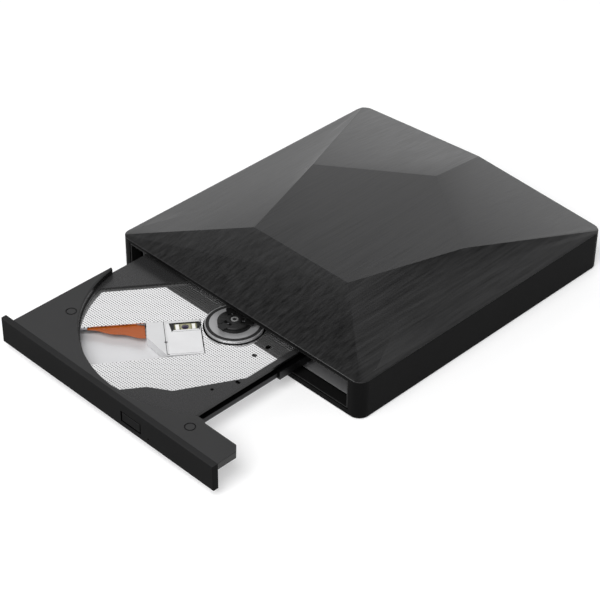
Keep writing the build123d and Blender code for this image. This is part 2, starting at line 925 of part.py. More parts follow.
def runner(x0, x1):
    """Metal strip on the side of the drawer that rides in a middle rail."""
    return block(x0, x1, notch_y + 0.5, tray_back - 1, runner_z, runner_top)


def tray_runners():
    """Right-hand and left-hand strips."""
    return [runner(body_right, right_runner_x), runner(left_runner_x, body_left)]


def guide_rods():
    """Two ground rods that the pickup slides on."""
    left = sled_rod(rod_near, rod_far_left, rod_left, rod_z, rod_r)
    return [left, sled_rod(rod_near, rod_far_right, rod_right, rod_z, rod_r)]


def feed_motor():
    """Small motor at the inner end of the lead screw."""
    u0 = rod_near + 2
    u1 = u0 + motor_len
    can = sled_rod(u0, u1, screw_line, rod_z - 0.1, motor_r)
    low = frame_z + frame_t
    return can & sled_block(u0, u1, screw_line - motor_r, screw_line + motor_r, low, rod_z + 2.1)


def lead_screw():
    """Screw that drives the pickup along its rods."""
    return sled_rod(rod_near + 2.3 + motor_len, lead_far, screw_line, rod_z, lead_r)


def screw_bearing():
    """Block that carries the far end of the lead screw."""
    u0 = lead_far + 0.2
    return sled_block(
        u0, u0 + 1.6, screw_line - 1.8, screw_line + 1.8, frame_z + frame_t, rod_z + 1.8
    )


def latch_solenoid():
    """Coil that releases the front latch."""
    low = frame_z + frame_t
    coil = block(24.2, 30.8, tray_front + 15.35, tray_front + 23.35, low, low + 3.6)
    return coil - rod(24.0, tray_front + 23.85, low - 1, low + 6, 3.0)


def latch_pin():
    """Fixed pin on the drive's floor that the latch hooks round when the tray is home."""
    return rod(body_right + 1.3, chassis_front + catch_back, drive_z, drive_z + 2.1, catch_r)


def latch_lever():
    """Flat lever with a nose that catches the pin."""
    low = drive_z + 1.0
    high = low + latch_t
    nose_y = chassis_front + catch_back - tray_out + catch_r + 0.35
    shape = rod(latch_x, latch_y, low, high, 2.2)
    shape += slab(
        [
            (latch_x, latch_y - 1.4),
            (body_right - 1.2, nose_y - 3.0),
            (body_right - 0.4, nose_y - 3.0),
            (body_right - 0.4, nose_y),
            (body_right + 0.3, nose_y),
            (body_right + 0.3, nose_y + 1.0),
            (body_right - 1.6, nose_y + 1.6),
            (latch_x, latch_y + 2.0),
        ],
        low, high,
    )
    return shape - rod(latch_x, latch_y, low - 1, high + 1, 1.0)


def latch_pivot():
    """Pin that the lever turns on, hanging from the tray's raised front."""
    return rod(latch_x, latch_y, drive_z + 0.95, tray_z - tray_skin, 0.95)


# ---- spindle ----


def spindle_base():
    """Bearing housing and coils of the spindle motor."""
    low = frame_z + frame_t
    top = seat_z - flange_t - rotor_h - 0.3
    shape = rod(spindle_x, spindle_y, frame_z, top, 2.9)
    shape += rod(spindle_x, spindle_y, low, low + 0.6, rotor_r)
    return shape - rod(spindle_x, spindle_y, frame_z + 0.4, top + 1, shaft_r + 0.05)


def rotor_cup():
    """Steel cup that turns with the platform above it."""
    top = seat_z - flange_t
    shape = rod(spindle_x, spindle_y, top - rotor_h, top, rotor_r)
    shape -= rod(spindle_x, spindle_y, top - rotor_h - 1, top - 0.6, rotor_r - 0.8)
    return shape + rod(spindle_x, spindle_y, frame_z + 0.6, top, shaft_r)


def turntable():
    """Metal platform that the disc sits on, with a raised outer edge."""
    shape = rod(spindle_x, spindle_y, seat_z - flange_t, seat_z - 0.1, flange_r)
    return shape - (
        rod(spindle_x, spindle_y, seat_z - 0.5, seat_z + 1, rubber_r)
        - rod(spindle_x, spindle_y, seat_z - 2, seat_z + 2, seat_r)
    )


def grip_ring():
    """Rubber ring that stops the disc slipping."""
    return rod(spindle_x, spindle_y, seat_z - 0.5, seat_z, rubber_r) - rod(
        spindle_x, spindle_y, seat_z - 1, seat_z + 1, seat_r
    )


def claw_place(n):
    """Turn to claw n, counted from the pickup's side."""
    return Pos(spindle_x, spindle_y, 0) * Rot(0, 0, sled_deg + 38 + n * 360 / claw_count)


def clamp_hub():
    """Centring hub: the disc's seat below, and above it a crown with pockets for the claws."""
    pocket_z = seat_z + disc_t - 0.05
    crown = rod(spindle_x, spindle_y, pocket_z, hub_z, hub_r - hub_step)
    crown = chamfer(crown.faces().sort_by(Axis.Z)[-1].edges(), 0.3)
    hub = rod(spindle_x, spindle_y, seat_z - 0.1, pocket_z, hub_r) + crown
    for n in range(claw_count):
        pocket = block(3.2, hub_r + 2, -claw_w / 2 - 0.15, claw_w / 2 + 0.15, pocket_z, hub_z + 1)
        hub -= claw_place(n) * pocket
    return hub - rod(spindle_x, spindle_y, hub_z - 0.5, hub_z + 1, 1.9)


def claw(n):
    """One sprung claw, holding the disc down by its bore."""
    low = seat_z + disc_t + 0.05
    body = block(4.5, claw_reach, -claw_w / 2, claw_w / 2, low, low + claw_t)
    nose = body.edges().filter_by(Axis.Z).group_by(Axis.X)[-1]
    return claw_place(n) * fillet(nose, 0.6)


def centre_ring():
    """Bright end of the motor's shaft, seen in the middle of the hub."""
    return rod(spindle_x, spindle_y, hub_z - 0.5, hub_z + 0.05, 1.6) - rod(
        spindle_x, spindle_y, hub_z - 0.3, hub_z + 1, 0.9
    )


# ---- pickup ----

pickup_z = plate_z + pickup_top
pickup_low = pickup_z - pickup_h


def pickup_plan():
    """Plan of the pickup's casting in its own directions."""
    return [
        (pickup_near, pickup_left),
        (pickup_front_left, pickup_left),
        (pickup_front_left + 0.5, 3.6),
        (pickup_front_right, pickup_right),
        (pickup_near, pickup_right),
    ]


def lens_spot():
    """Middle of the lens in the case's directions."""
    return sled_point(lens_at, lens_off)


def pickup_body():
    """Casting that slides on the rods and carries the laser."""
    body = sled_slab(pickup_plan(), pickup_low, pickup_z - cover_t)
    body -= sled_block(
        window_near - 0.2, window_far + 0.2, cover_left - 0.2, window_right + 0.2,
        pickup_z - 2.9, pickup_z + 1,
    )
    rear = rod(spindle_x, spindle_y, pickup_low - 1, pickup_z + 1, flange_r + 1.4)
    body -= rear
    for u0 in (16.5, 29.5):
        u1 = u0 + 4.5
        body += sled_block(u0, u1, rod_left, pickup_left + 0.5, rod_z - 0.9, rod_z + 0.9)
        body += sled_rod(u0, u1, rod_left, rod_z, lug_r)
        body -= sled_rod(u0 - 1, u1 + 1, rod_left, rod_z, rod_r + rod_fit)
    body += sled_block(18, 24, pickup_right - 0.5, rod_right, rod_z - 0.9, rod_z + 0.9)
    body += sled_rod(18, 24, rod_right, rod_z, lug_r)
    body -= sled_rod(17, 25, rod_right, rod_z, rod_r + rod_fit)
    body -= sled.location * rod(29.0, 7.8, pickup_z - 2, pickup_z + 1, 0.7)
    return body


def pickup_cover():
    """Thin lid over the laser, leaving the lens's window open."""
    lid = sled_block(
        cover_near, cover_far, cover_left, pickup_right - 0.2, pickup_z - cover_t, pickup_z
    )
    lid -= rod(spindle_x, spindle_y, pickup_z - 2, pickup_z + 1, flange_r + 1.4)
    lid -= sled_block(
        window_near, window_far, cover_left - 1, window_right, pickup_z - 2, pickup_z + 1
    )
    return lid


def actuator_frame():
    """Plate and two magnets round the moving lens."""
    low = pickup_z - 2.8
    base = sled_block(
        window_near + 0.1, window_far - 0.1, cover_left, window_right - 0.1, low, low + 1.0
    )
    for u in (window_near + 1.9, window_far - 1.9):
        base += sled_block(u - 1.1, u + 1.1, cover_left + 0.5, window_right - 0.5, low, pickup_z - 0.2)
    return base


def feed_nut():
    """Sprung half nut that follows the lead screw."""
    top = rod_z - lead_r - 0.1
    edge = rod_left - lug_r
    arm = sled_block(25, 34, edge - 1.7, edge, top - 0.45, top)
    arm += sled_block(30, 33, edge - 0.8, edge, top - 0.45, rod_z)
    return arm + sled_block(25, 28, screw_line - 1.2, edge - 1.7, top - 0.45, top)


def lens_holder():
    """Moving frame that floats the lens on its wires."""
    low = pickup_z - 1.25
    x, y = lens_spot()
    body = sled_block(lens_at - 2.4, lens_at + 2.0, lens_off - 2.1, lens_off + 1.9, low, low + 0.9)
    return body - rod(x, y, low - 1, low + 2, lens_r - 0.35)


def objective_lens():
    """Small glass lens in its holder."""
    x, y = lens_spot()
    low = pickup_z - 1.25
    barrel = rod(x, y, low + 0.1, low + 0.9, lens_r - 0.36)
    ball = Pos(x, y, low + 0.9 - 2.9) * Sphere(3.3)
    cap = ball & rod(x, y, low + 0.85, low + 2, lens_r - 0.36)
    return barrel + cap


def pickup_flex():
    """Orange film cable from the pickup to the left side of the drawer."""
    start = pickup_front_left + 0.7
    points = [(start, -5.6), (start, 2.6), (start + 24.0, -6.2), (start + 24.0, -13.4)]
    low = rod_z + rod_r + 0.35
    return sled_slab(points, low, low + 0.2)


# ---- ribbon ----

ribbon_low_z = drive_z
ribbon_high_z = frame_z - 0.05 - ribbon_t


def ribbon_run(y0, y1, z):
    """A flat stretch of the ribbon."""
    return block(ribbon_x - ribbon_w / 2, ribbon_x + ribbon_w / 2, y0, y1, z, z + ribbon_t)


def ribbon_fixed():
    """Lower stretch, lying on the drive's floor."""
    return ribbon_run(chassis_front + 2.5, chassis_back - 4, ribbon_low_z)


def ribbon_tray():
    """Upper stretch, under the drawer."""
    return ribbon_run(tray_front + 49, tray_back - 3, ribbon_high_z)


def ribbon_fold():
    """Bend between the two stretches, which travels half as far as the tray."""
    low = ribbon_low_z + ribbon_t + ribbon_pinch
    high = ribbon_high_z - ribbon_pinch
    radius = (high - low) / 2
    mid = (high + low) / 2
    bar = Pos(ribbon_x, fold_y, mid) * Rot(0, 90, 0) * Cylinder(radius, ribbon_w)
    core = Pos(ribbon_x, fold_y, mid) * Rot(0, 90, 0) * Cylinder(radius - ribbon_t, ribbon_w + 2)
    rear = block(-half_w, half_w, fold_y, fold_y + 2 * radius, low - 1, high + 1)
    return (bar - core) & rear


def main():
    """Write every sub-part."""
    save("base_shell", base_shell())
    save("roof_cover", roof_cover())
    save("mouth_frame", mouth_frame())
    save("foot_pads", *foot_pads())
    save("case_screws", *case_screws())
    save("drive_chassis", drive_chassis())
    save("drive_top_cover", drive_top_cover())
    save("cover_screws", *cover_screws())
    save("drive_pads", *drive_pads())
    save("drive_connector", drive_connector())
    save("drive_board", drive_board())
    save("drive_chips", *drive_chips())
    save("bridge_board", bridge_board())
    save("bridge_chips", *bridge_chips())
    save("bridge_plug", bridge_plug())
    save("usb_socket", usb_socket())
    save("usb_tongue", usb_tongue())
    save("right_guide", right_guide())
    save("left_guide", left_guide())
    save("right_rail", right_rail())
    save("left_rail", left_rail())
    save("tray", tray())
    save("front_bezel", front_bezel())
    save("eject_button", eject_button())
    save("eject_switch", eject_switch())
    save("tray_board", tray_board())
    save("tray_board_chips", *tray_board_chips())
    save("cover_plate", *cover_plate())
    save("traverse_frame", traverse_frame())
    save("damper_bushes", *damper_bushes())
    save("plate_screws", *plate_screws())
    save("tray_bottom_plate", tray_bottom_plate())
    save("tray_runners", *tray_runners())
    save("guide_rods", *guide_rods())
    save("feed_motor", feed_motor())
    save("lead_screw", lead_screw())
    save("screw_bearing", screw_bearing())
    save("latch_solenoid", latch_solenoid())
    save("latch_pin", latch_pin())
    save("latch_lever", latch_lever())
    save("latch_pivot", latch_pivot())
    save("spindle_base", spindle_base())
    save("rotor_cup", rotor_cup())
    save("turntable", turntable())
    save("grip_ring", grip_ring())
    save("clamp_hub", clamp_hub())
    for n in range(claw_count):
        save("claw_" + str(n + 1), claw(n))
    save("centre_ring", centre_ring())
    save("pickup_body", pickup_body())
    save("pickup_cover", pickup_cover())
    save("actuator_frame", actuator_frame())
    save("feed_nut", feed_nut())
    save("lens_holder", lens_holder())
    save("objective_lens", objective_lens())
    save("pickup_flex", pickup_flex())
    save("ribbon_fixed", ribbon_fixed())
    save("ribbon_tray", ribbon_tray())
    save("ribbon_fold", ribbon_fold())


main()
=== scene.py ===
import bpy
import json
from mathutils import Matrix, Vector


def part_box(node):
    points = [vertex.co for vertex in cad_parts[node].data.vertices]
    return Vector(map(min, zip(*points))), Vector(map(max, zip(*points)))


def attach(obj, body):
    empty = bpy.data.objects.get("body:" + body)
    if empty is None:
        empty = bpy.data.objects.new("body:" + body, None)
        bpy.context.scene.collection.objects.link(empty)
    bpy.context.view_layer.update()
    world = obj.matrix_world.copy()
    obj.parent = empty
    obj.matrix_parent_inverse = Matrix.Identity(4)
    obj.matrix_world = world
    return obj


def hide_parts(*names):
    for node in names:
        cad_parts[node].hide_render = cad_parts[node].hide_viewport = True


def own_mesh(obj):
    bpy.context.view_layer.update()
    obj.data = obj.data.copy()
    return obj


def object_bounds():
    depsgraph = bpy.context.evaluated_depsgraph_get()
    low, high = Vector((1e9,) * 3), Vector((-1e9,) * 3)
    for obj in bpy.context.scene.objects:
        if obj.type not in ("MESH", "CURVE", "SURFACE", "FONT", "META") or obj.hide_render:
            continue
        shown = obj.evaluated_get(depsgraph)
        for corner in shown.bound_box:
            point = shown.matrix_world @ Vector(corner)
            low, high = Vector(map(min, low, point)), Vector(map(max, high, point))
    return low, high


bl_info = {
    "name": "External Optical Drive",
    "version": (1, 0, 0),
    "blender": (4, 5, 0),
    "location": "View3D > Sidebar > Drive",
    "description": "Dresses the packed disc drive: soft edges, finishes, small pieces, light and camera",
    "category": "Object",
}

import json
import math

import bmesh
import bpy
from bpy.props import FloatProperty, FloatVectorProperty, PointerProperty
from mathutils import Vector

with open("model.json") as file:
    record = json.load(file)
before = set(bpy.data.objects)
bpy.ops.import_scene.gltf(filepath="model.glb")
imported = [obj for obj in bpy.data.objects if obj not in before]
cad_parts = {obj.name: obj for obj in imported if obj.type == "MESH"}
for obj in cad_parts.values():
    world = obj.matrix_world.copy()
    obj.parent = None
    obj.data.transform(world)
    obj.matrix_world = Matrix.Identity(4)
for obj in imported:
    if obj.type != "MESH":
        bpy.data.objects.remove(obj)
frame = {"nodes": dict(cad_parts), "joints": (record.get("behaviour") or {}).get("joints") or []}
CAD_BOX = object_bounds()
JOINTS = {joint["name"]: joint for joint in frame["joints"]}
MM = 0.001


# ---- where things are, read from the frame ----

spindle = Vector(JOINTS["spindle_spin"]["pos_m"])
slide_axis = Vector(JOINTS["pickup_slide"]["axis"]).normalized()
slide_side = Vector((-slide_axis.y, slide_axis.x, 0.0))
plate_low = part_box("cover_plate")[0]
seat_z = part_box("grip_ring")[1].z
hub_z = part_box("clamp_hub")[1].z
pickup_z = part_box("pickup_cover")[1].z


def along(u, v, z):
    """A point u mm out along the pickup's slide and v mm across it, at height z in metres."""
    flat = Vector((spindle.x, spindle.y, 0.0)) + slide_axis * u * MM + slide_side * v * MM
    return Vector((flat.x, flat.y, z))


# ---- shader maths ----


class Flow:
    """One output of a node. Arithmetic on it adds Math nodes."""

    def __init__(self, paint, socket):
        self.paint = paint
        self.socket = socket

    def maths(self, operation, first, second=0.0):
        return self.paint.node("ShaderNodeMath", {"operation": operation}, {0: first, 1: second})

    def __add__(self, other):
        return self.maths("ADD", self, other)

    __radd__ = __add__

    def __sub__(self, other):
        return self.maths("SUBTRACT", self, other)

    def __mul__(self, other):
        return self.maths("MULTIPLY", self, other)

    def __truediv__(self, other):
        return self.maths("DIVIDE", self, other)

    def __gt__(self, other):
        return self.maths("GREATER_THAN", self, other)

    def __lt__(self, other):
        return self.maths("LESS_THAN", self, other)

    def __abs__(self):
        return self.maths("ABSOLUTE", self)

    def fraction(self):
        return self.maths("FRACT", self)

    def root(self):
        return self.maths("SQRT", self)


class Paint:
    """A material and the nodes that make it."""

    def __init__(self, name, base, roughness, metallic=0.0, specular=0.5):
        self.material = bpy.data.materials.new(name)
        self.material.use_nodes = True
        self.tree = self.material.node_tree
        self.shader = self.tree.nodes["Principled BSDF"]
        self.put("Base Color", (*base, 1.0))
        self.put("Roughness", roughness)
        self.put("Metallic", metallic)
        self.put("Specular IOR Level", specular)

    def put(self, socket, value):
        """Give one of the shader's sockets a constant or a link."""
        self.connect(self.shader.inputs[socket], value)

    def connect(self, socket, value):
        if isinstance(value, Flow):
            self.tree.links.new(value.socket, socket)
        else:
            socket.default_value = value

    def node(self, kind, settings=None, sockets=None, out=0):
        """Add a node, with its settings first and its sockets' values or links next."""
        made = self.tree.nodes.new(kind)
        for name, value in (settings or {}).items():
            setattr(made, name, value)
        for key, value in (sockets or {}).items():
            self.connect(made.inputs[key], value)
        return Flow(self, made.outputs[out])

    def place(self, scale=(1000.0, 1000.0, 1000.0), shift=(0.0, 0.0, 0.0)):
        """The point on the piece, stretched by scale and then shifted."""
        at = self.node("ShaderNodeTexCoord", out="Object")
        at = self.node("ShaderNodeVectorMath", {"operation": "MULTIPLY"}, {0: at, 1: scale})
        return self.node("ShaderNodeVectorMath", {"operation": "ADD"}, {0: at, 1: shift})

    def parts(self, vector):
        """The three numbers of a vector."""
        split = self.node("ShaderNodeSeparateXYZ", sockets={0: vector})
        outputs = split.socket.node.outputs
        return [Flow(self, outputs[n]) for n in range(3)]

    def speckle(self, scale, detail=2.0, roughness=0.5):
        """Smooth noise from 0 to 1 whose grains are 1/scale metres apart."""
        where = self.place(scale)
        sockets = {"Vector": where, "Scale": 1.0, "Detail": detail, "Roughness": roughness}
        return self.node("ShaderNodeTexNoise", None, sockets)

    def mix(self, factor, first, second):
        """A colour between two."""
        colours = [c if isinstance(c, Flow) else (*c, 1.0) for c in (first, second)]
        return self.node(
            "ShaderNodeMix", {"data_type": "RGBA"}, {0: factor, 6: colours[0], 7: colours[1]}, out=2
        )

    def from_spindle(self):
        """Distance in mm from the spindle's axis."""
        at = self.place((1000, 1000, 0), (-spindle.x * 1000, -spindle.y * 1000, 0))
        return self.node("ShaderNodeVectorMath", {"operation": "LENGTH"}, {0: at}, out="Value")

    def upward(self):
        """One where the surface faces up, and zero elsewhere."""
        facing = self.node("ShaderNodeNewGeometry", out="True Normal")
        return self.parts(facing)[2] > 0.5

    def relief(self, height, depth, rounding=0.00018):
        """Raise the surface by height, from 0 to 1, times depth, and round its edges by rounding."""
        edge = self.node("ShaderNodeBevel", {"samples": 4}, {"Radius": rounding})
        bump = {"Height": height, "Distance": depth, "Strength": 1.0, "Normal": edge}
        self.put("Normal", self.node("ShaderNodeBump", None, bump))


def shade(colour, factor):
    """A colour made lighter or darker."""
    return tuple(min(1.0, part * factor) for part in colour)


# ---- finishes ----

GRAIN = 3200
GRAINS = (GRAIN, GRAIN, GRAIN)
CLOUDS = (60, 60, 60)
SHALLOW = 0.00001


def brushed_roof(finish):
    """Dark sheet brushed from front to back."""
    paint = Paint("roof_brushed", finish.colour, finish.roughness, specular=finish.gloss)
    fine = paint.speckle((1100, 55, 1100), 3.0, 0.6)
    long = paint.speckle((520, 14, 520), 2.0, 0.5)
    lines = fine * 0.6 + long * 0.4
    dark, light = (shade(finish.colour, 1 + change) for change in (-finish.contrast, finish.contrast))
    paint.put("Base Color", paint.mix((lines - 0.5) * 2.2 + 0.5, dark, light))
    paint.put("Roughness", (lines - 0.5) * 0.35 + finish.roughness)
    paint.relief(lines, 0.00005)
    return paint.material


def moulded(name, colour, roughness, grain=GRAIN, specular=0.5):
    """Plastic with a fine spark-eroded texture and slight unevenness of colour."""
    paint = Paint(name, colour, roughness, specular=specular)
    texture = paint.speckle((grain, grain, grain), 3.0, 0.6)
    cloud = paint.speckle(CLOUDS, 2.0)
    paint.put("Base Color", paint.mix(cloud, shade(colour, 0.86), shade(colour, 1.14)))
    paint.put("Roughness", (texture - 0.5) * 0.12 + roughness)
    paint.relief(texture, SHALLOW)
    return paint.material


def tray_plastic(colour):
    """Plastic with a textured rim, a smoother floor, upright walls painted near black as painted shade,
    and two engraved rings.
    """
    paint = Paint("tray_plastic", colour, 0.5, specular=0.3)
    x, y, z = paint.parts(paint.place())
    rim_depth, ring_radius, ring_half = 0.6, 2.12, 0.3
    shadow = (0.0035, 0.0035, 0.0035)
    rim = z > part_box("tray")[1].z / MM - rim_depth
    up = paint.upward()
    texture = paint.speckle(GRAINS, 3.0, 0.6)
    cloud = paint.speckle(CLOUDS, 2.0)
    tone = paint.mix(cloud, shade(colour, 0.88), shade(colour, 1.12))
    floor = paint.mix(cloud, shade(colour, 1.0), shade(colour, 1.2))
    # Faces that do not face up take the near-black shadow colour: painted shade on the tray's upright
    # walls.
    tone_and_painted_wall_shade = paint.mix(up, shadow, paint.mix(rim, floor, tone))
    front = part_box("front_bezel")[1].y / MM
    rings = 0.0
    for cx, cy in ((-47.2, front + 20.85), (41.0, front + 6.85)):
        far = ((x - cx) * (x - cx) + (y - cy) * (y - cy)).root()
        rings = rings + (abs(far - ring_radius) < ring_half)
    paint.put("Base Color", paint.mix(rings * rim, tone_and_painted_wall_shade, (0.003, 0.003, 0.003)))
    paint.put("Roughness", rim * 0.3 + texture * 0.1 + 0.22)
    paint.relief(texture * (rim * 0.8 + 0.2), SHALLOW, 0.00008)
    return paint.material


def panel_plastic(finish):
    """Textured plastic of the front panel, whose top is like the tray and whose upright faces are
    painted darker as painted shade.
    """
    paint = Paint("panel_textured", finish.bezel, 0.5, specular=0.02)
    texture = paint.speckle(GRAINS, 3.0, 0.6)
    cloud = paint.speckle(CLOUDS, 2.0)
    front = paint.mix(cloud, shade(finish.bezel, 0.86), shade(finish.bezel, 1.14))
    top = paint.mix(cloud, shade(finish.tray, 0.88), shade(finish.tray, 1.12))
    # Painted shade: faces that do not face up take the darker front colour, and faces that face up take
    # the tray's colour.
    paint.put("Base Color", paint.mix(paint.upward(), front, top))
    paint.put("Roughness", (texture - 0.5) * 0.12 + 0.5)
    paint.relief(texture, SHALLOW, 0.00012)
    return paint.material


def bed_metal():
    """Smooth grey bed under the pickup, painted black round the spindle as the shade in the gap there,
    and black on its posts.
    """
    paint = Paint("bed_grey", (0.72, 0.72, 0.73), 0.3, metallic=0.2)
    radius = paint.from_spindle()
    cloud = paint.speckle((90, 90, 90), 2.0)
    grey = paint.mix(cloud, (0.68, 0.68, 0.69), (0.76, 0.76, 0.77))
    post = paint.parts(paint.place())[2] > plate_low.z / MM - 0.5
    black, gap_shade_radius = (0.006, 0.006, 0.006), 17.0
    # Painted shade: within 17 mm of the spindle the bed is black, standing for the dark gap between
    # pickup and turntable; the posts are black too.
    paint.put("Base Color", paint.mix(post, paint.mix(radius < gap_shade_radius, grey, black), black))
    paint.put("Roughness", cloud * 0.12 + 0.26)
    paint.relief(cloud, SHALLOW)
    return paint.material


def rubber():
    """Matte black rubber with a dusty bloom."""
    paint = Paint("rubber_black", (0.012, 0.012, 0.012), 0.75, specular=0.3)
    bloom = paint.speckle((900, 900, 900), 4.0, 0.65)
    paint.put("Base Color", paint.mix(bloom, (0.008, 0.008, 0.008), (0.024, 0.024, 0.024)))
    paint.put("Roughness", bloom * 0.25 + 0.62)
    paint.relief(bloom, 0.00002)
    return paint.material


def drawn_metal(name, colour, roughness, scale=(40, 2400, 2400), spread=0.18):
    """Rolled or drawn metal whose fine lines run along its smallest scale."""
    paint = Paint(name, colour, roughness, metallic=1.0)
    lines = paint.speckle(scale, 3.0, 0.6)
    paint.put("Base Color", paint.mix(lines, shade(colour, 1 - spread), shade(colour, 1 + spread)))
    paint.put("Roughness", (lines - 0.5) * 0.2 + roughness)
    paint.relief(lines, 0.000008)
    return paint.material


def cast_metal(name, colour, roughness, metallic=1.0):
    """Die-cast metal: cloudy, with a fine sandy skin."""
    paint = Paint(name, colour, roughness, metallic=metallic)
    sand = paint.speckle((1500, 1500, 1500), 4.0, 0.6)
    cloud = paint.speckle((120, 120, 120), 2.0)
    paint.put("Base Color", paint.mix(cloud, shade(colour, 0.93), shade(colour, 1.05)))
    paint.put("Roughness", (sand - 0.5) * 0.16 + roughness)
    paint.relief(sand, 0.000012)
    return paint.material


def turned_metal(name, colour, roughness, metallic):
    """Metal faced on a lathe, with rings about the spindle."""
    paint = Paint(name, colour, roughness, metallic=metallic)
    radius = paint.from_spindle()
    sockets = {"W": radius * 7.0, "Detail": 3.0}
    rings = paint.node("ShaderNodeTexNoise", {"noise_dimensions": "1D"}, sockets)
    paint.put("Base Color", paint.mix(rings, shade(colour, 0.82), shade(colour, 1.16)))
    paint.put("Roughness", (rings - 0.5) * 0.3 + roughness)
    paint.relief(rings, SHALLOW)
    return paint.material


def dotted_plate(finish):
    """Bright sheet etched with rows of fine dots."""
    paint = Paint("plate_dotted", finish.colour, finish.roughness, metallic=0.93)
    pitch = finish.pitch * 1000
    x, y, _ = paint.parts(paint.place())
    across = (x / (pitch * 0.94)).fraction() - 0.5
    back = (y / pitch).fraction() - 0.5
    dots = (across * across * 0.6 + back * back).root() < finish.dot
    smooth = paint.speckle((90, 90, 90), 2.0)
    sheet = paint.mix(smooth, shade(finish.colour, 0.97), shade(finish.colour, 1.03))
    paint.put("Base Color", paint.mix(dots, sheet, finish.dot_colour))
    paint.put("Roughness", dots * 0.3 + finish.roughness)
    return paint.material


def film(name, colour, trace, spacing, angle=0.0):
    """Printed film cable: a lacquered sheet with conductors under it."""
    paint = Paint(name, colour, 0.32, specular=0.5)
    x, y, _ = paint.parts(paint.place())
    across = x * math.cos(angle) + y * math.sin(angle)
    track = (across / spacing).fraction()
    conductor = (track > 0.3) * (track < 0.75)
    wave = paint.speckle((140, 140, 140), 2.0)
    body = paint.mix(wave, shade(colour, 0.9), shade(colour, 1.1))
    paint.put("Base Color", paint.mix(conductor * 0.6, body, trace))
    paint.put("Roughness", wave * 0.2 + 0.25)
    paint.relief(conductor, 0.00002, 0.00001)
    return paint.material


def circuit_board():
    """Green solder mask over copper tracks, with bare pads."""
    paint = Paint("board_green", (0.008, 0.06, 0.028), 0.35, specular=0.5)
    x, y, _ = paint.parts(paint.place())
    snake = paint.speckle((260, 260, 260), 1.0)
    tracks = ((x * 1.1 + snake * 3.0).fraction() > 0.62) * ((y * 0.4 + snake).fraction() > 0.25)
    pads = ((x / 2.1).fraction() > 0.72) * ((y / 1.7).fraction() > 0.78)
    mask = paint.mix(tracks, (0.008, 0.055, 0.026), (0.014, 0.105, 0.045))
    paint.put("Base Color", paint.mix(pads, mask, (0.62, 0.47, 0.2)))
    paint.put("Metallic", pads * 0.9)
    paint.relief(tracks + pads, 0.00003)
    return paint.material


def lens_glass():
    """Coated glass of the lens, with a faint violet sheen painted into its colour."""
    paint = Paint("lens_coated", (0.03, 0.03, 0.045), 0.04, specular=0.5)
    facing = paint.node("ShaderNodeLayerWeight", None, {"Blend": 0.35}, out="Facing")
    ripple = paint.speckle((500, 500, 500), 1.0)
    painted_sheen = facing * 0.8 + ripple * 0.2
    # Painted reflection: the colour turns violet where the glass turns away from the view.
    paint.put("Base Color", paint.mix(painted_sheen, (0.015, 0.015, 0.03), (0.07, 0.05, 0.09)))
    paint.put("Roughness", ripple * 0.05 + 0.02)
    return paint.material


def floor_paint(colour):
    """Matte pale ground with a very slight unevenness."""
    paint = Paint("floor_pale", colour, 0.9, specular=0.1)
    cloud = paint.speckle((6, 6, 6), 3.0)
    paint.put("Base Color", paint.mix(cloud, shade(colour, 0.99), shade(colour, 1.0)))
    paint.put("Emission Color", (*colour, 1.0))
    paint.put("Emission Strength", 0.42)
    return paint.material


# ---- mesh helpers ----


def dress(material, *nodes):
    """Give CAD nodes their finish."""
    for node in nodes:
        piece = frame["nodes"][node]
        piece.data.materials.clear()
        piece.data.materials.append(material)


def soften(piece, width, angle, segments):
    """Weld a mesh, clear its flat seams and bevel the edges sharper than angle."""
    weld = piece.modifiers.new("weld", "WELD")
    weld.merge_threshold = 1e-6
    flat = piece.modifiers.new("flat", "DECIMATE")
    flat.decimate_type = "DISSOLVE"
    flat.angle_limit = math.radians(0.6)
    round_off = piece.modifiers.new("round", "BEVEL")
    round_off.width = width * MM
    round_off.segments = segments
    round_off.limit_method = "ANGLE"
    round_off.angle_limit = math.radians(angle)
    round_off.harden_normals = True
    for face in piece.data.polygons:
        face.use_smooth = True


def piece_from(shape, name, body, material, stands_for=()):
    """Turn a bmesh into a piece that rides on a body."""
    bmesh.ops.recalc_face_normals(shape, faces=shape.faces)
    mesh = bpy.data.meshes.new(name)
    shape.to_mesh(mesh)
    shape.free()
    mesh.materials.append(material)
    piece = bpy.data.objects.new(name, mesh)
    bpy.context.scene.collection.objects.link(piece)
    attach(piece, body)
    if stands_for:
        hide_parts(*stands_for)
    return piece


def prism(shape, points, low, high):
    """Add a polygon standing from low to high to a bmesh."""
    base = [shape.verts.new((p[0], p[1], low)) for p in points]
    top = [shape.verts.new((p[0], p[1], high)) for p in points]
    shape.faces.new(list(reversed(base)))
    shape.faces.new(top)
    count = len(points)
    for n in range(count):
        m = (n + 1) % count
        shape.faces.new((base[n], base[m], top[m], top[n]))


def box_between(shape, corner_a, corner_b):
    """Add a box between two corners."""
    (x0, y0, z0), (x1, y1, z1) = corner_a, corner_b
    prism(shape, [(x0, y0), (x1, y0), (x1, y1), (x0, y1)], z0, z1)


def bar(shape, turn, r0, r1, width, low, high):
    """Add a radial bar from r0 to r1 mm about the spindle."""
    out = Vector((math.cos(turn), math.sin(turn), 0)) * MM
    side = Vector((-out.y, out.x, 0)) * width / 2
    middle = Vector((spindle.x, spindle.y, 0))
    near, far = middle + out * r0, middle + out * r1
    prism(shape, [near - side, far - side, far + side, near + side], low, high)


def hub_turn(n):
    """Angle of claw n about the spindle."""
    inward = Vector(JOINTS[f"claw_{n + 1}_slide"]["axis"])
    return math.atan2(-inward.y, -inward.x)


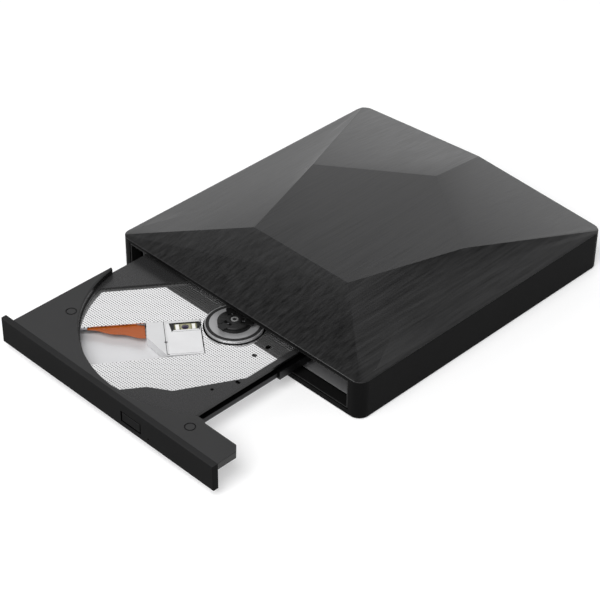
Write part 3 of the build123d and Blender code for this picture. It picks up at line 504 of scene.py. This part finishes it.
def tube(name, points, radius, material):
    """A round wire along points, as a mesh."""
    curve = bpy.data.curves.new(name, "CURVE")
    curve.dimensions = "3D"
    curve.bevel_depth = radius
    curve.bevel_resolution = 2
    line = curve.splines.new("POLY")
    line.points.add(len(points) - 1)
    for spot, point in zip(line.points, points):
        spot.co = (*point, 1.0)
    wire = bpy.data.objects.new(name, curve)
    mesh = bpy.data.meshes.new_from_object(wire)
    bpy.data.objects.remove(wire)
    mesh.materials.append(material)
    piece = bpy.data.objects.new(name, mesh)
    bpy.context.scene.collection.objects.link(piece)
    return piece


def lathe(shape, profile, middle, steps=64):
    """Add a closed ring whose section is profile, in mm of radius and metres of height."""
    rows = []
    for n in range(steps):
        turn = 2 * math.pi * n / steps
        c, s = math.cos(turn), math.sin(turn)
        rows.append(
            [shape.verts.new((middle.x + r * MM * c, middle.y + r * MM * s, z)) for r, z in profile]
        )
    count = len(profile)
    for n in range(steps):
        a, b = rows[n], rows[(n + 1) % steps]
        for k in range(count):
            j = (k + 1) % count
            shape.faces.new((a[k], a[j], b[j], b[k]))


# ---- sizes and colours that a user may change ----


class RoofFinish(bpy.types.PropertyGroup):
    colour: FloatVectorProperty(
        name="Colour", description="Colour of the brushed roof",
        subtype="COLOR", default=(0.0095, 0.0095, 0.0096), size=3,
    )
    roughness: FloatProperty(
        name="Roughness", description="How wide the roof's gloss spreads", default=0.36
    )
    gloss: FloatProperty(
        name="Gloss", description="Strength of the roof's reflection", default=0.45
    )
    contrast: FloatProperty(
        name="Brush contrast", description="Difference between brush lines", default=0.9
    )
    crease: FloatProperty(
        name="Crease width", description="Width of the rounding along the facets' edges",
        default=0.0006, unit="LENGTH",
    )


class ShellFinish(bpy.types.PropertyGroup):
    wall: FloatVectorProperty(
        name="Walls", description="Colour of the case's walls",
        subtype="COLOR", default=(0.0045, 0.0045, 0.0046), size=3,
    )
    wall_gloss: FloatProperty(
        name="Wall gloss", description="Strength of the walls' reflection", default=0.02
    )
    tray: FloatVectorProperty(
        name="Tray", description="Colour of the tray's plastic",
        subtype="COLOR", default=(0.0235, 0.0235, 0.0238), size=3,
    )
    bezel: FloatVectorProperty(
        name="Front panel", description="Colour of the tray's front panel",
        subtype="COLOR", default=(0.0068, 0.0068, 0.0069), size=3,
    )


class PlateFinish(bpy.types.PropertyGroup):
    colour: FloatVectorProperty(
        name="Colour", description="Colour of the dotted plate",
        subtype="COLOR", default=(0.97, 0.97, 0.97), size=3,
    )
    dot_colour: FloatVectorProperty(
        name="Dot colour", description="Colour of the etched dots",
        subtype="COLOR", default=(0.16, 0.16, 0.16), size=3,
    )
    roughness: FloatProperty(
        name="Roughness", description="Blur of the plate's reflection", default=0.08
    )
    pitch: FloatProperty(
        name="Dot pitch", description="Distance between dots", default=0.00115, unit="LENGTH"
    )
    dot: FloatProperty(
        name="Dot size", description="Radius of a dot as a share of the pitch", default=0.23
    )


class CableFinish(bpy.types.PropertyGroup):
    colour: FloatVectorProperty(
        name="Colour", description="Colour of the pickup's film cable",
        subtype="COLOR", default=(0.33, 0.068, 0.006), size=3,
    )
    thickness: FloatProperty(
        name="Thickness", description="Thickness of the film", default=0.0002, unit="LENGTH"
    )


class StageSetting(bpy.types.PropertyGroup):
    floor: FloatVectorProperty(
        name="Floor", description="Colour of the ground",
        subtype="COLOR", default=(0.75, 0.75, 0.75), size=3,
    )
    key: FloatProperty(
        name="Key light", description="Power of the light above the front", default=21.0, unit="POWER"
    )
    back: FloatProperty(
        name="Back light", description="Power of the panel behind the drive", default=3.8, unit="POWER"
    )
    lens: FloatProperty(
        name="Lens", description="Focal length of the camera", default=117.3, unit="CAMERA"
    )


class DriveSettings(bpy.types.PropertyGroup):
    roof: PointerProperty(type=RoofFinish)
    shell: PointerProperty(type=ShellFinish)
    plate: PointerProperty(type=PlateFinish)
    cable: PointerProperty(type=CableFinish)
    stage: PointerProperty(type=StageSetting)


# ---- operators, one for each piece or group ----


class DRIVE_OT_roof(bpy.types.Operator):
    """Faceted roof with soft creases"""

    bl_idname = "drive.roof"
    bl_label = "Roof"

    def execute(self, context):
        finish = context.scene.drive.roof
        dress(brushed_roof(finish), "roof_cover")
        soften(frame["nodes"]["roof_cover"], finish.crease / MM, 3.0, 3)
        return {"FINISHED"}


class DRIVE_OT_shell(bpy.types.Operator):
    """Walls and floor of the case, and the liner of its mouth"""

    bl_idname = "drive.shell"
    bl_label = "Case shell"

    def execute(self, context):
        finish = context.scene.drive.shell
        dress(moulded("shell_satin", finish.wall, 0.42, specular=finish.wall_gloss), "base_shell")
        dress(moulded("liner_black", (0.006, 0.006, 0.006), 0.42, specular=0.15), "mouth_frame")
        return {"FINISHED"}


class DRIVE_OT_tray(bpy.types.Operator):
    """Tray moulding, its front panel, button and switch"""

    bl_idname = "drive.tray"
    bl_label = "Tray"

    def execute(self, context):
        finish = context.scene.drive.shell
        dress(tray_plastic(finish.tray), "tray")
        dress(panel_plastic(finish), "front_bezel", "eject_button")
        dress(moulded("switch_black", (0.02, 0.02, 0.02), 0.5), "eject_switch")
        self.button_gap()
        return {"FINISHED"}

    def button_gap(self):
        """Dark gap round the button."""
        dark = moulded("gap_black", (0.001, 0.001, 0.001), 0.9, specular=0.0)
        low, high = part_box("eject_button")
        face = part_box("front_bezel")[0].y
        out, wide, deep = 0.14 * MM, 0.22 * MM, 0.3 * MM
        shape = bmesh.new()
        for x0, x1, z0, z1 in (
            (low.x - out, low.x - out + wide, low.z - out, high.z + out),
            (high.x + out - wide, high.x + out, low.z - out, high.z + out),
            (low.x - out + wide, high.x + out - wide, low.z - out, low.z - out + wide),
            (low.x - out + wide, high.x + out - wide, high.z + out - wide, high.z + out),
        ):
            box_between(shape, (x0, face, z0), (x1, face + deep, z1))
        piece_from(shape, "button_gap", "tray", dark)


class DRIVE_OT_plate(bpy.types.Operator):
    """Dotted plate under the disc"""

    bl_idname = "drive.plate"
    bl_label = "Dotted plate"

    def execute(self, context):
        dress(dotted_plate(context.scene.drive.plate), "cover_plate")
        return {"FINISHED"}


class DRIVE_OT_spindle(bpy.types.Operator):
    """Turntable, rubber ring, hub and claws, with the hub's ribs and springs"""

    bl_idname = "drive.spindle"
    bl_label = "Spindle"

    def execute(self, context):
        dress(turned_metal("turntable_turned", (0.4, 0.4, 0.405), 0.42, 0.5), "turntable")
        dress(rubber(), "grip_ring")
        black = moulded("hub_black", (0.005, 0.005, 0.005), 0.4, specular=0.25)
        dress(black, "clamp_hub", "claw_1", "claw_2", "claw_3")
        bright = turned_metal("shaft_end", (0.3, 0.3, 0.3), 0.4, 0.6)
        dress(bright, "centre_ring")
        dress(drawn_metal("rotor_steel", (0.3, 0.3, 0.31), 0.35), "rotor_cup")
        dress(cast_metal("bearing_brass", (0.3, 0.26, 0.16), 0.4), "spindle_base")
        self.hub_ribs(black)
        self.claw_springs(drawn_metal("spring_steel", (0.12, 0.12, 0.125), 0.4, (3000, 3000, 3000)))
        return {"FINISHED"}

    def hub_ribs(self, material):
        """A raised ring and short ribs on top of the hub, between the claws' pockets."""
        shape = bmesh.new()
        top = hub_z + 0.02 * MM
        low = hub_z - 0.1 * MM
        crest, dip = top + 0.08 * MM, hub_z - 0.22 * MM
        ring = [(2.05, low), (2.05, top), (2.2, crest), (2.9, crest), (3.0, top), (3.0, low)]
        lathe(shape, ring, spindle)
        lathe(shape, [(0.0, low), (0.0, dip), (0.86, dip), (0.86, low)], spindle)
        for n in range(3):
            for shift in (-26, 0, 26):
                turn = hub_turn(n) + math.radians(60 + shift)
                bar(shape, turn, 3.4, 6.3, 0.35, low, top + 0.06 * MM)
        piece_from(shape, "hub_ribs", "spindle", material)

    def claw_springs(self, material):
        """A short coil behind each claw."""
        turns, steps, coil, wire = 6, 48, 0.26, 0.07
        for n in range(3):
            out = Vector((math.cos(hub_turn(n)), math.sin(hub_turn(n)), 0))
            side = Vector((-out.y, out.x, 0))
            middle = Vector((spindle.x, spindle.y, seat_z + 1.5 * MM))
            points = []
            for k in range(steps + 1):
                t = k / steps
                swing = 2 * math.pi * turns * t
                points.append(
                    middle + out * (3.3 + 1.15 * t) * MM + side * coil * MM * math.cos(swing)
                    + Vector((0, 0, 0.2 * MM * math.sin(swing)))
                )
            piece = tube(f"claw_spring_{n + 1}", points, wire * MM, material)
            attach(piece, "spindle")
            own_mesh(piece)


class DRIVE_OT_pickup(bpy.types.Operator):
    """Laser pickup with its window, magnets, seams, a painted shadow line and lens"""

    bl_idname = "drive.pickup"
    bl_label = "Pickup"

    def execute(self, context):
        dress(cast_metal("pickup_cast", (0.66, 0.66, 0.665), 0.42, 0.2), "pickup_body")
        dress(cast_metal("pickup_lid", (0.74, 0.74, 0.745), 0.36, 0.2), "pickup_cover")
        gold = cast_metal("actuator_gold", (0.3, 0.29, 0.16), 0.4, 0.3)
        dress(gold, "actuator_frame")
        dress(moulded("nut_acetal", (0.6, 0.6, 0.56), 0.4), "feed_nut")
        dress(moulded("holder_olive", (0.36, 0.35, 0.22), 0.45), "lens_holder")
        dress(lens_glass(), "objective_lens")
        self.window_edges()
        self.magnets()
        self.lid_seams()
        return {"FINISHED"}

    def window_edges(self):
        """Black gussets at the two ends of the window, and the dark slit behind it."""
        black = moulded("gusset_black", (0.006, 0.006, 0.006), 0.4, specular=0.3)
        top = pickup_z - 0.02 * MM
        low = top - 0.5 * MM
        shape = bmesh.new()
        for points in (
            [(13.9, -3.7), (15.0, -3.7), (15.0, 0.9), (14.6, 1.5)],
            [(25.4, -3.7), (27.0, -3.7), (26.2, 1.5), (25.4, 0.9)],
            [(14.4, -4.1), (27.0, -4.1), (27.0, -3.75), (14.4, -3.75)],
        ):
            prism(shape, [along(u, v, 0) for u, v in points], low, top + 0.04 * MM)
        piece_from(shape, "window_gussets", "pickup", black)

    def magnets(self):
        """Two pale magnet faces beside the lens, and a dark gap outside each."""
        pale = moulded("magnet_white", (0.85, 0.85, 0.82), 0.4)
        shape = bmesh.new()
        for u0, u1 in ((16.2, 17.6), (22.9, 24.4)):
            corners = [along(u, v, 0) for u, v in ((u0, -3.1), (u1, -3.1), (u1, 0.2), (u0, 0.2))]
            prism(shape, corners, pickup_z - 0.5 * MM, pickup_z - 0.12 * MM)
        piece_from(shape, "magnet_faces", "pickup", pale)
        dark = moulded("slot_dark", (0.02, 0.02, 0.018), 0.5)
        shape = bmesh.new()
        for u0, u1 in ((15.2, 15.7), (24.9, 25.4)):
            corners = [along(u, v, 0) for u, v in ((u0, -3.3), (u1, -3.3), (u1, 0.3), (u0, 0.3))]
            prism(shape, corners, pickup_z - 0.5 * MM, pickup_z - 0.1 * MM)
        piece_from(shape, "magnet_gaps", "pickup", dark)

    def lid_seams(self):
        """Fine dark gaps round the lid and the window, and a painted shadow line along the lid's far
        edge.
        """
        dark = moulded("seam_and_shadow_dark", (0.004, 0.004, 0.004), 0.5, specular=0.2)
        shape = bmesh.new()
        low = pickup_z - 0.4 * MM
        for u0, u1, v0, v1, top in (
            # Painted shadow: this strip along the lid's far edge stands for the shadow line under the
            # lid's step; the others are dark seams.
            (29.0, 29.22, -6.0, 16.1, -0.24),
            (14.02, 14.14, -3.5, 13.0, 0.02),
            (14.3, 28.8, 16.12, 16.2, 0.01),
            (14.6, 26.6, 1.62, 1.74, 0.01),
        ):
            corners = [along(u, v, 0) for u, v in ((u0, v0), (u1, v0), (u1, v1), (u0, v1))]
            prism(shape, corners, low, pickup_z + top * MM)
        piece_from(shape, "lid_seams", "pickup", dark)


class DRIVE_OT_cables(bpy.types.Operator):
    """Film cable of the pickup and the ribbon under the tray"""

    bl_idname = "drive.cables"
    bl_label = "Film cables"

    def execute(self, context):
        finish = context.scene.drive.cable
        turn = math.atan2(slide_side.y, slide_side.x)
        orange = film("flex_orange", finish.colour, shade(finish.colour, 1.35), 0.9, turn)
        self.pickup_cable(finish, orange)
        white = film("ribbon_white", (0.62, 0.63, 0.66), (0.42, 0.43, 0.47), 1.0)
        dress(white, "ribbon_fixed", "ribbon_fold", "ribbon_tray")
        return {"FINISHED"}

    def pickup_cable(self, finish, material):
        """Thin film that leaves the pickup's outer edge and narrows to the left, with a wavy edge."""
        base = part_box("pickup_flex")[0].z + 0.25 * finish.thickness
        start, reach = 36.95, 23.6
        shape = bmesh.new()
        count, across = 28, 8
        outlines = []
        for level in (base, base - finish.thickness * 0.5):
            rows = []
            for n in range(count + 1):
                t = n / count
                u = start + reach * t
                right = 2.75 - 8.4 * t ** 1.1 + 0.42 * math.sin(13.0 * t)
                left = -5.5 - 7.7 * t
                lift = 0.1 * MM * math.sin(math.pi * min(1.0, 1.3 * t))
                steps = [left + (right - left) * k / across for k in range(across + 1)]
                rows.append([shape.verts.new(along(u, v, level + lift)) for v in steps])
            for near, far in zip(rows, rows[1:]):
                for k in range(across):
                    shape.faces.new((near[k], far[k], far[k + 1], near[k + 1]))
            right_side = rows[0] + [row[-1] for row in rows[1:]]
            left_side = rows[-1][-2::-1] + [row[0] for row in rows[-2:0:-1]]
            outlines.append(right_side + left_side)
        top, low = outlines
        for k in range(len(top)):
            m = (k + 1) % len(top)
            shape.faces.new((top[k], top[m], low[m], low[k]))
        piece = piece_from(shape, "pickup_cable", "tray", material, ("pickup_flex",))
        along(75.4, 0, base)
        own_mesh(piece)


class DRIVE_OT_mechanism(bpy.types.Operator):
    """Bed, rods, motor, lead screw, bushes, latch and bottom plate"""

    bl_idname = "drive.mechanism"
    bl_label = "Mechanism"

    def execute(self, context):
        dress(bed_metal(), "traverse_frame")
        ground = drawn_metal("rod_ground", (0.72, 0.72, 0.74), 0.14, (1800, 1800, 1800), 0.05)
        dress(ground, "guide_rods", "lead_screw")
        dress(drawn_metal("motor_can", (0.6, 0.6, 0.6), 0.3), "feed_motor")
        acetal = moulded("acetal_grey", (0.05, 0.05, 0.055), 0.42)
        dress(acetal, "screw_bearing", "latch_lever")
        dress(rubber(), "damper_bushes")
        dress(drawn_metal("coil_copper", (0.6, 0.26, 0.1), 0.35, (60, 60, 6000)), "latch_solenoid")
        steel = drawn_metal("pin_steel", (0.6, 0.6, 0.62), 0.25)
        dress(steel, "latch_pin", "latch_pivot")
        dress(drawn_metal("plate_screw_black", (0.008, 0.008, 0.008), 0.5), "plate_screws")
        dress(drawn_metal("bottom_zinc", (0.5, 0.5, 0.51), 0.36), "tray_bottom_plate")
        return {"FINISHED"}


class DRIVE_OT_slides(bpy.types.Operator):
    """Rails, runners and fixed guides"""

    bl_idname = "drive.slides"
    bl_label = "Slides"

    def execute(self, context):
        dark = drawn_metal("rail_dark", (0.03, 0.03, 0.031), 0.36, (2400, 30, 2400))
        dress(dark, "right_rail", "left_rail", "tray_runners")
        black = moulded("guide_black", (0.008, 0.008, 0.008), 0.4, specular=0.2)
        dress(black, "right_guide", "left_guide")
        return {"FINISHED"}


class DRIVE_OT_chassis(bpy.types.Operator):
    """Folded drive body, its lid and the lid's screws"""

    bl_idname = "drive.chassis"
    bl_label = "Drive body"

    def execute(self, context):
        zinc = cast_metal("chassis_zinc", (0.2, 0.2, 0.203), 0.34, 0.25)
        dress(zinc, "drive_chassis", "drive_top_cover")
        dress(drawn_metal("lid_screw_steel", (0.5, 0.5, 0.52), 0.28), "cover_screws")
        dress(drawn_metal("case_screw_black", (0.06, 0.06, 0.062), 0.35), "case_screws")
        return {"FINISHED"}


class DRIVE_OT_electronics(bpy.types.Operator):
    """Boards, packages, connectors and the rear socket"""

    bl_idname = "drive.electronics"
    bl_label = "Electronics"

    def execute(self, context):
        dress(circuit_board(), "drive_board", "bridge_board", "tray_board")
        epoxy = moulded("chip_epoxy", (0.015, 0.015, 0.016), 0.5, 2600)
        dress(epoxy, "drive_chips", "bridge_chips", "tray_board_chips")
        nylon = moulded("connector_nylon", (0.02, 0.02, 0.021), 0.45)
        dress(nylon, "drive_connector", "bridge_plug", "usb_tongue")
        dress(drawn_metal("socket_steel", (0.62, 0.62, 0.64), 0.22, (40, 2400, 2400)), "usb_socket")
        self.socket_contacts()
        return {"FINISHED"}

    def socket_contacts(self):
        """Gilt contacts on both faces of the socket's tongue."""
        low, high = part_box("usb_tongue")
        gold = drawn_metal("contact_gold", (0.85, 0.62, 0.25), 0.25, (2400, 60, 2400))
        shape = bmesh.new()
        count, half = 12, 0.13 * MM
        pitch = (high.x - low.x - 0.7 * MM) / (count - 1)
        for n in range(count):
            x = low.x + 0.35 * MM + n * pitch
            for z0, z1 in (
                (high.z - 0.02 * MM, high.z + 0.03 * MM),
                (low.z - 0.03 * MM, low.z + 0.02 * MM),
            ):
                back, front = high.y - 4.2 * MM, high.y - 0.4 * MM
                box_between(shape, (x - half, back, z0), (x + half, front, z1))
        piece_from(shape, "socket_contacts", "case", gold)


class DRIVE_OT_feet(bpy.types.Operator):
    """Rubber feet and the pads under the drive body"""

    bl_idname = "drive.feet"
    bl_label = "Feet"

    def execute(self, context):
        dress(rubber(), "foot_pads", "drive_pads")
        return {"FINISHED"}


class DRIVE_OT_stage(bpy.types.Operator):
    """Floor, lights, surround and camera"""

    bl_idname = "drive.stage"
    bl_label = "Stage"

    def execute(self, context):
        setting = context.scene.drive.stage
        ground = bmesh.new()
        bmesh.ops.create_circle(ground, cap_ends=True, radius=3.0, segments=96)
        mesh = bpy.data.meshes.new("floor")
        ground.to_mesh(mesh)
        ground.free()
        mesh.materials.append(floor_paint(setting.floor))
        floor = bpy.data.objects.new("floor", mesh)
        floor.location.z = CAD_BOX[0].z
        context.scene.collection.objects.link(floor)
        self.surround(context)
        self.panel(context, "key_light", (0.3, -0.9, 1.25), (1.1, 1.1), setting.key)
        self.panel(context, "back_light", (-0.95, 1.0, 0.34), (2.2, 0.9), setting.back)
        self.camera(context, setting)
        context.scene.view_settings.view_transform = "Standard"
        return {"FINISHED"}

    def panel(self, context, name, place, size, power):
        """A soft rectangular light that faces the drive."""
        light = bpy.data.lights.new(name, "AREA")
        light.shape = "RECTANGLE"
        light.size, light.size_y = size
        light.energy = power
        lamp = bpy.data.objects.new(name, light)
        lamp.location = place
        lamp.rotation_euler = (-Vector(place)).to_track_quat("-Z", "Y").to_euler()
        context.scene.collection.objects.link(lamp)

    def surround(self, context):
        """Studio walls: pale to a little above the horizon, and dark overhead."""
        world = bpy.data.worlds.new("studio")
        context.scene.world = world
        world.use_nodes = True
        tree = world.node_tree
        at = tree.nodes.new("ShaderNodeTexCoord")
        split = tree.nodes.new("ShaderNodeSeparateXYZ")
        ramp = tree.nodes.new("ShaderNodeValToRGB")
        pale, dark = ramp.color_ramp.elements
        pale.position, pale.color = 0.62, (0.86, 0.86, 0.87, 1)
        dark.position, dark.color = 0.8, (0.05, 0.05, 0.05, 1)
        tree.links.new(at.outputs["Generated"], split.inputs[0])
        tree.links.new(split.outputs["Z"], ramp.inputs[0])
        tree.links.new(ramp.outputs[0], tree.nodes["Background"].inputs[0])

    def camera(self, context, setting):
        """Camera a little over half a metre up, looking down at the front right corner."""
        lens = bpy.data.cameras.new("camera")
        lens.lens = setting.lens
        lens.sensor_width = 36.0
        lens.clip_end = 20.0
        camera = bpy.data.objects.new("camera", lens)
        camera.location = (0.47074, -0.51440, 0.50943)
        camera.rotation_euler = [math.radians(a) for a in (52.8387, -0.5340, 45.0767)]
        context.scene.collection.objects.link(camera)
        context.scene.camera = camera


class DRIVE_PT_panel(bpy.types.Panel):
    """Lists the drive's pieces and their settings"""

    bl_idname = "DRIVE_PT_panel"
    bl_label = "Optical drive"
    bl_space_type = "VIEW_3D"
    bl_region_type = "UI"
    bl_category = "Drive"

    def draw(self, context):
        settings = context.scene.drive
        for group in (settings.roof, settings.shell, settings.plate, settings.cable, settings.stage):
            column = self.layout.column(align=True)
            for name in group.__annotations__:
                column.prop(group, name)
        for operator in OPERATORS:
            self.layout.operator(operator.bl_idname)


OPERATORS = (
    DRIVE_OT_roof,
    DRIVE_OT_shell,
    DRIVE_OT_tray,
    DRIVE_OT_plate,
    DRIVE_OT_spindle,
    DRIVE_OT_pickup,
    DRIVE_OT_cables,
    DRIVE_OT_mechanism,
    DRIVE_OT_slides,
    DRIVE_OT_chassis,
    DRIVE_OT_electronics,
    DRIVE_OT_feet,
    DRIVE_OT_stage,
)
GROUPS = (RoofFinish, ShellFinish, PlateFinish, CableFinish, StageSetting, DriveSettings)


def register():
    for group in (*GROUPS, *OPERATORS, DRIVE_PT_panel):
        bpy.utils.register_class(group)
    bpy.types.Scene.drive = PointerProperty(type=DriveSettings)


def unregister():
    del bpy.types.Scene.drive
    for group in reversed((*GROUPS, *OPERATORS, DRIVE_PT_panel)):
        bpy.utils.unregister_class(group)


def main():
    """Clear the default scene and dress every piece."""
    for name in ("Cube", "Light", "Camera"):
        if name in bpy.data.objects:
            bpy.data.objects.remove(bpy.data.objects[name])
    register()
    for operator in OPERATORS:
        family, name = operator.bl_idname.split(".")
        getattr(getattr(bpy.ops, family), name)()


if __name__ == "__main__":
    main()
